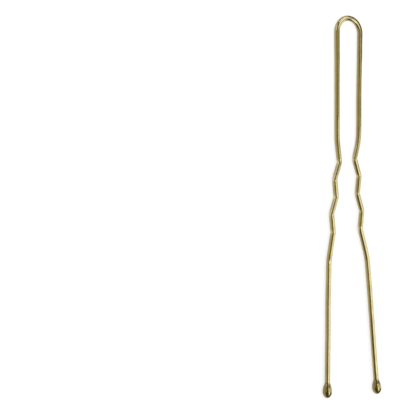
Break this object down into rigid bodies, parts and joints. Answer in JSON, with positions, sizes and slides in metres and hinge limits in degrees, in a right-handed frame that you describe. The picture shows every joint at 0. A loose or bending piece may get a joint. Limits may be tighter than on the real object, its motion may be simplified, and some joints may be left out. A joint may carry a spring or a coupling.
{
  "type": "hair pin",
  "caption": "Open U-shaped hair pin of lacquered spring wire with a round crown, crimped legs that flex apart to grip a lock of hair, and smooth teardrop tips.",
  "frame": {"origin": "centre of the crown's bend, in the middle of the wire", "axes": "+Y along the pin towards the crown, +X from the left leg to the right leg, +Z square to the plane that the wire is bent in"},
  "size_m": [0.0136, 0.07, 0.0018],
  "materials": {
    "wire": "glossy bronze-gold lacquer on drawn steel wire",
    "tip": "glossy bronze-gold lacquer on a dipped resin drop"
  },
  "bodies": {
    "bow": {"spring_bow": "wire"},
    "left_side": {"left_leg": "wire", "left_tip": "tip"},
    "right_side": {"right_leg": "wire", "right_tip": "tip"}
  },
  "joints": [
    {"name": "left_flex", "type": "hinge", "parent": "bow", "child": "left_side", "pos_m": [-0.00266, -0.00603, 0], "axis": [0, 0, -1], "range_deg": [-4, 8], "stiffness_Nm_per_rad": 0.34, "deforming": ["spring_bow"]},
    {"name": "right_flex", "type": "hinge", "parent": "bow", "child": "right_side", "pos_m": [0.00266, -0.00603, 0], "axis": [0, 0, 1], "range_deg": [-4, 8], "stiffness_Nm_per_rad": 0.34, "deforming": ["spring_bow"]}
  ]
}
